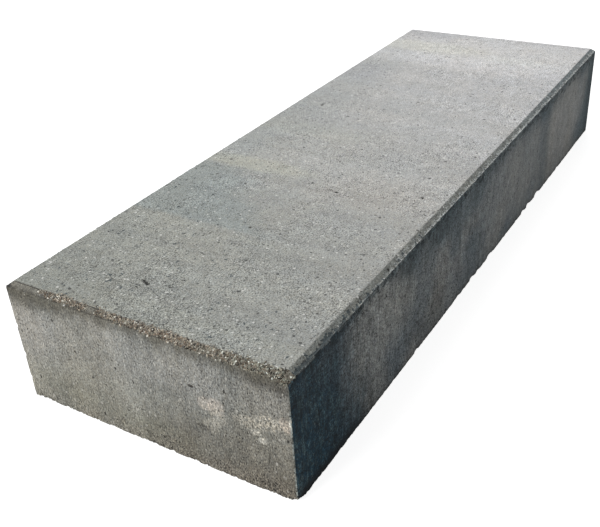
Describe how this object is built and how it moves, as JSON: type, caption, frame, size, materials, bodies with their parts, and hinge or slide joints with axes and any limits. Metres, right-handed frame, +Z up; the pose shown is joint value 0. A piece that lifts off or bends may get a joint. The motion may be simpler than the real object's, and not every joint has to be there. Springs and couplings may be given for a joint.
{
  "type": "concrete block step",
  "caption": "Solid pressed-concrete block step with a chamfer all round its tread, laid on its flat bed to form a garden or entrance stair.",
  "frame": {"origin": "middle of the bed face, the face that the step lies on", "axes": "+X along the step's length, +Y from the riser towards the rear, +Z up through the tread"},
  "size_m": [1, 0.35, 0.15],
  "materials": {
    "concrete": "matt dry-pressed concrete, grey shading to anthracite"
  },
  "bodies": {
    "root": {"block_step": "concrete"}
  },
  "joints": []
}
